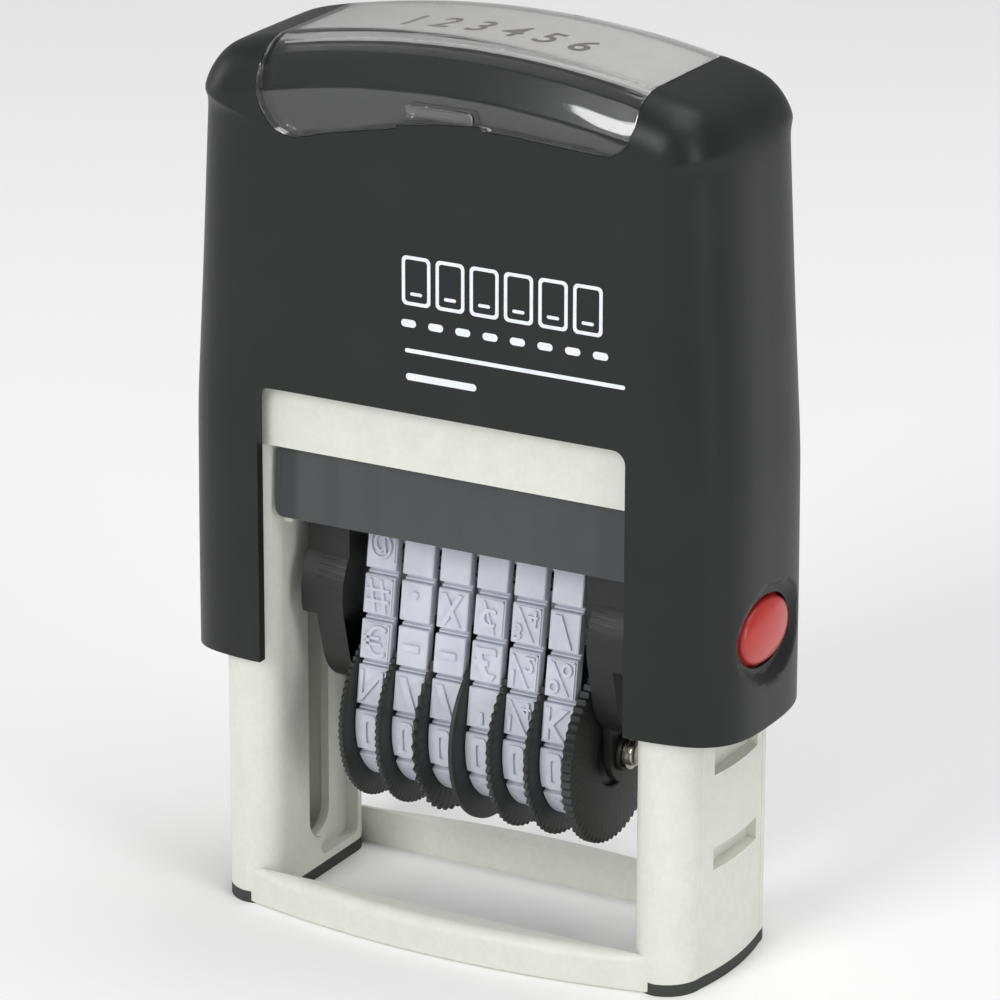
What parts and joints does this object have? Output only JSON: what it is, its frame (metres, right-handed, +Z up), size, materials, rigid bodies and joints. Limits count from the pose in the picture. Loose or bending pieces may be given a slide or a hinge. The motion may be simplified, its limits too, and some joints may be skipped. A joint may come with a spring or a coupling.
{
  "type": "self-inking rotary band stamp",
  "caption": "Self-inking hand stamp: pressed cover flips a carrier with thumb-wheel rubber character bands from the ink pad down to the paper.",
  "frame": {"origin": "centre of the footprint on the paper plane", "axes": "+Z up through the cover, +X along the printed line, -Y towards the user"},
  "size_m": [0.0584, 0.0242, 0.0883],
  "materials": {
    "cover_black": "satin charcoal moulded plastic",
    "frame_grey": "satin warm light grey moulded plastic",
    "foot_black": "matt soft plastic",
    "cartridge_black": "satin dark grey plastic",
    "ink_felt": "ink-soaked felt",
    "carrier_black": "semi-gloss black plastic",
    "wheel_black": "semi-gloss black plastic",
    "band_rubber": "pale lavender-grey vulcanised rubber",
    "button_red": "satin red plastic",
    "clear_cap": "clear polished styrene",
    "card": "white card with grey printed digits",
    "axle_steel": "nickel-plated steel",
    "spring_steel": "bright spring wire"
  },
  "bodies": {
    "frame": {"base_frame": "frame_grey", "foot_left": "foot_black", "foot_right": "foot_black", "return_spring": "spring_steel"},
    "cartridge": {"ink_cartridge": "cartridge_black", "ink_pad": "ink_felt"},
    "cover": {"cover_shell": "cover_black", "index_label": "card", "slider_left": "carrier_black", "slider_right": "carrier_black", "pivot_pin_left": "carrier_black", "pivot_pin_right": "carrier_black", "spring_guide": "carrier_black"},
    "index_cap": {"index_window": "clear_cap"},
    "button_left": {"lock_button_left": "button_red"},
    "button_right": {"lock_button_right": "button_red"},
    "carrier": {"side_plate_left": "carrier_black", "side_plate_right": "carrier_black", "platen": "carrier_black", "tie_rod": "carrier_black", "wheel_axle": "axle_steel", "axle_clip_left": "axle_steel", "axle_clip_right": "axle_steel", "axle_washer": "carrier_black", "band_1": "band_rubber", "band_2": "band_rubber", "band_3": "band_rubber", "band_4": "band_rubber", "band_5": "band_rubber", "band_6": "band_rubber"},
    "thumbwheel_1": {"wheel_1": "wheel_black"},
    "thumbwheel_2": {"wheel_2": "wheel_black"},
    "thumbwheel_3": {"wheel_3": "wheel_black"},
    "thumbwheel_4": {"wheel_4": "wheel_black"},
    "thumbwheel_5": {"wheel_5": "wheel_black"},
    "thumbwheel_6": {"wheel_6": "wheel_black", "wheel_end_disc": "wheel_black"}
  },
  "joints": [
    {"name": "cover_press", "type": "slide", "parent": "frame", "child": "cover", "axis": [0, 0, -1], "range_m": [0, 0.0216], "stiffness_N_per_m": 255, "springref_m": -0.0098, "deforming": ["return_spring"]},
    {"name": "carrier_flip", "type": "hinge", "parent": "cover", "child": "carrier", "pos_m": [0, 0, 0.0318], "axis": [1, 0, 0], "range_deg": [-180, 0]},
    {"name": "cartridge_slide", "type": "slide", "parent": "frame", "child": "cartridge", "axis": [0, 1, 0], "range_m": [-0.024, 0]},
    {"name": "index_cap_lift", "type": "slide", "parent": "cover", "child": "index_cap", "axis": [0, 0, 1], "range_m": [0, 0.012]},
    {"name": "lock_left", "type": "slide", "parent": "cover", "child": "button_left", "axis": [1, 0, 0], "range_m": [0, 0.00115], "stiffness_N_per_m": 600, "springref_m": -0.001},
    {"name": "lock_right", "type": "slide", "parent": "cover", "child": "button_right", "axis": [-1, 0, 0], "range_m": [0, 0.00115], "stiffness_N_per_m": 600, "springref_m": -0.001},
    {"name": "thumbwheel_1_spin", "type": "hinge", "parent": "carrier", "child": "thumbwheel_1", "pos_m": [0, 0, 0.01959], "axis": [1, 0, 0], "continuous": true},
    {"name": "thumbwheel_2_spin", "type": "hinge", "parent": "carrier", "child": "thumbwheel_2", "pos_m": [0, 0, 0.01959], "axis": [1, 0, 0], "continuous": true},
    {"name": "thumbwheel_3_spin", "type": "hinge", "parent": "carrier", "child": "thumbwheel_3", "pos_m": [0, 0, 0.01959], "axis": [1, 0, 0], "continuous": true},
    {"name": "thumbwheel_4_spin", "type": "hinge", "parent": "carrier", "child": "thumbwheel_4", "pos_m": [0, 0, 0.01959], "axis": [1, 0, 0], "continuous": true},
    {"name": "thumbwheel_5_spin", "type": "hinge", "parent": "carrier", "child": "thumbwheel_5", "pos_m": [0, 0, 0.01959], "axis": [1, 0, 0], "continuous": true},
    {"name": "thumbwheel_6_spin", "type": "hinge", "parent": "carrier", "child": "thumbwheel_6", "pos_m": [0, 0, 0.01959], "axis": [1, 0, 0], "continuous": true}
  ],
  "couplings": [
    {"joint": "carrier_flip", "follows": "cover_press", "rad_per_m": -145.44}
  ]
}
